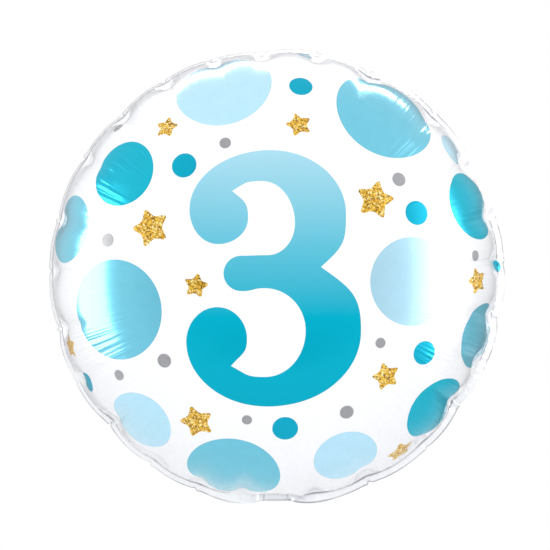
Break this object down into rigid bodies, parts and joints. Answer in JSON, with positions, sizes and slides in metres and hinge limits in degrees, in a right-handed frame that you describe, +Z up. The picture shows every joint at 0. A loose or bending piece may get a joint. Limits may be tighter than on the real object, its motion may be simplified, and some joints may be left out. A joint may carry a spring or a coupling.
{
  "type": "round foil balloon",
  "caption": "Inflated round foil balloon with a printed numeral and dots, a heat-sealed crinkled rim, a fold-back tail and a flat film valve.",
  "frame": {"origin": "middle of the fold line where the neck of the balloon turns into its tail", "axes": "+Z up through the balloon, -Y out of the face with the numeral, +X to the right of someone who looks at that face"},
  "size_m": [0.3524, 0.2026, 0.3534],
  "materials": {
    "printed_foil": "glossy metallised film printed white, with cyan, pale blue, teal, silver and gold glitter print",
    "valve_film": "clear soft film"
  },
  "bodies": {
    "envelope": {"front_panel": "printed_foil", "back_panel": "printed_foil", "valve_front_neck": "valve_film", "valve_back_neck": "valve_film"},
    "tail": {"tail_front_film": "printed_foil", "tail_back_film": "printed_foil", "valve_front_tail": "valve_film", "valve_back_tail": "valve_film"},
    "valve_front": {"valve_front_inner": "valve_film"},
    "valve_back": {"valve_back_inner": "valve_film"}
  },
  "joints": [
    {"name": "tail_fold", "type": "hinge", "parent": "envelope", "child": "tail", "pos_m": [0, 0, 0], "axis": [-1, 0, 0], "range_deg": [0, 190]},
    {"name": "valve_swing", "type": "hinge", "parent": "envelope", "child": "valve_front", "pos_m": [0, 0, 0.01008], "axis": [1, 0, 0], "range_deg": [-60, 60]},
    {"name": "valve_open", "type": "hinge", "parent": "valve_front", "child": "valve_back", "pos_m": [0, 0, 0.01008], "axis": [-1, 0, 0], "range_deg": [0, 4]}
  ]
}
